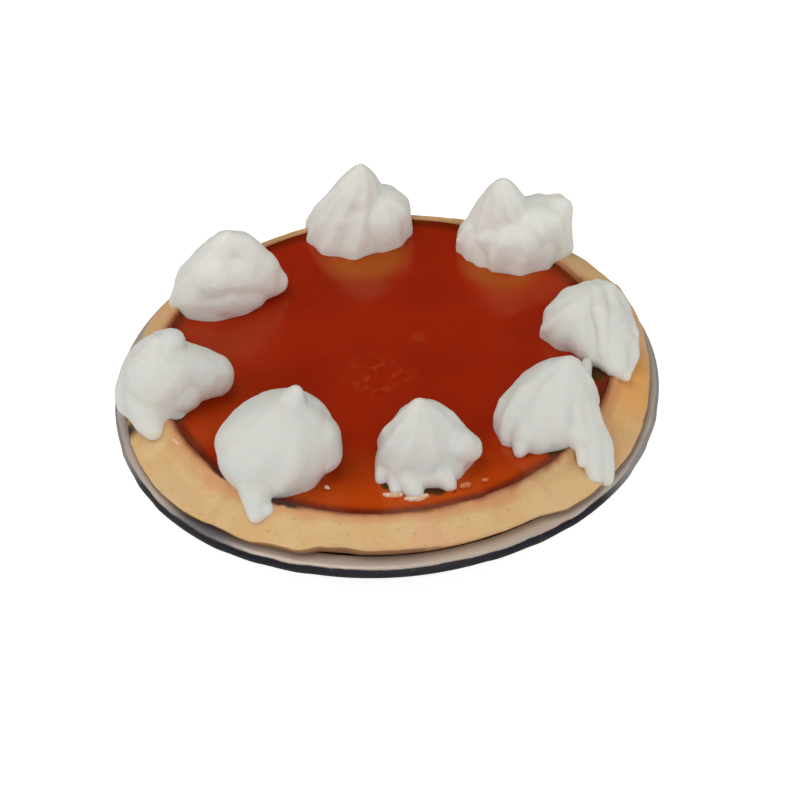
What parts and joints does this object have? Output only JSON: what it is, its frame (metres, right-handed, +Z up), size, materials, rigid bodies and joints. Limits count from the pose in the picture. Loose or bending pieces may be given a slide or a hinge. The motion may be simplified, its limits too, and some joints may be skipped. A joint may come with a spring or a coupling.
{
  "type": "chocolate cream pie",
  "caption": "Round shortcrust pie with a smooth glossy red-brown filling and a ring of piped whipped cream dollops, in its own shallow metal tin.",
  "frame": {"origin": "middle of the underside of the tin's base", "axes": "+Z straight up out of the pie, +Y towards the back of the pie, +X towards its right-hand side"},
  "size_m": [0.2384, 0.2384, 0.083],
  "materials": {
    "tin": "satin",
    "pastry": "matt, baked",
    "filling": "glossy, set custard",
    "cream": "satin, whipped"
  },
  "bodies": {
    "root": {"tin": "tin", "pastry": "pastry", "filling": "filling", "cream_1": "cream", "cream_2": "cream", "cream_3": "cream", "cream_4": "cream", "cream_5": "cream", "cream_6": "cream", "cream_7": "cream", "cream_8": "cream"}
  },
  "joints": []
}
